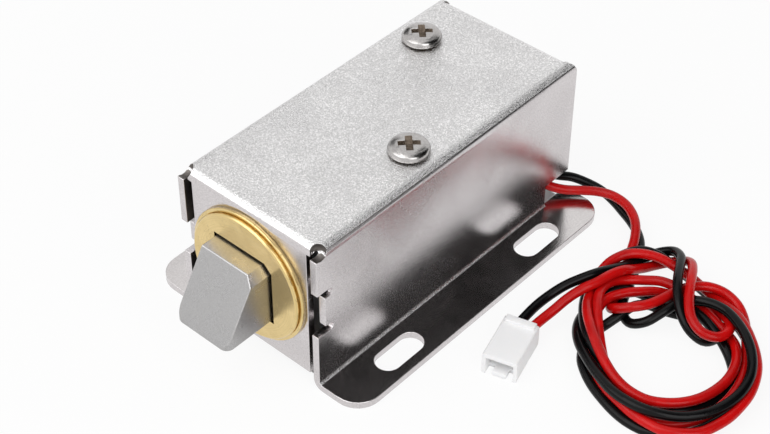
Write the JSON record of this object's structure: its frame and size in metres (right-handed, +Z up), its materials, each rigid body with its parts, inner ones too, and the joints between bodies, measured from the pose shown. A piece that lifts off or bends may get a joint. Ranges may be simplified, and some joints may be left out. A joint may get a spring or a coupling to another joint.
{
  "type": "solenoid lock",
  "caption": "Small solenoid lock: folded steel case on slotted flanges, slant-faced spring bolt in a round brass bush, and coiled insulated leads that end in a small crimp connector.",
  "frame": {"origin": "middle of the lock's box, without the leads, at the height of the mounting flanges' undersides", "axes": "+Y from the bolt's tip towards the rear plate, +Z up from the flanges to the case top, +X towards the side where the leads come out"},
  "size_m": [0.0812, 0.0699, 0.0277],
  "materials": {
    "nickel_plate": "bright nickel plate, satin on top",
    "brass": "turned brass",
    "bolt_metal": "matt grey metal",
    "steel": "plain steel",
    "spring_steel": "spring wire",
    "spool_plastic": "moulded nylon",
    "copper": "enamelled copper wire",
    "tape": "insulating wrap",
    "red_insulation": "soft insulation",
    "black_insulation": "soft insulation",
    "white_plastic": "moulded nylon",
    "tin": "tinned contact"
  },
  "bodies": {
    "root": {"case": "nickel_plate", "right_screw": "nickel_plate", "left_screw": "nickel_plate", "bush": "brass", "return_spring": "spring_steel", "yoke": "steel", "pole_plate": "steel", "bobbin": "spool_plastic", "coil_winding": "copper", "coil_tape": "tape", "guide_sleeve": "brass", "fixed_core": "steel", "red_lead": "red_insulation", "black_lead": "black_insulation", "red_lead_end": "red_insulation", "black_lead_end": "black_insulation", "lead_coil": "red_insulation", "connector_housing": "white_plastic", "black_contact": "tin", "red_contact": "tin"},
    "bolt": {"bolt": "bolt_metal", "bolt_pin": "steel", "plunger": "steel"}
  },
  "joints": [
    {"name": "bolt_slide", "type": "slide", "parent": "root", "child": "bolt", "axis": [0, 1, 0], "range_m": [0, 0.01], "stiffness_N_per_m": 120, "springref_m": -0.005, "deforming": ["return_spring"]}
  ]
}
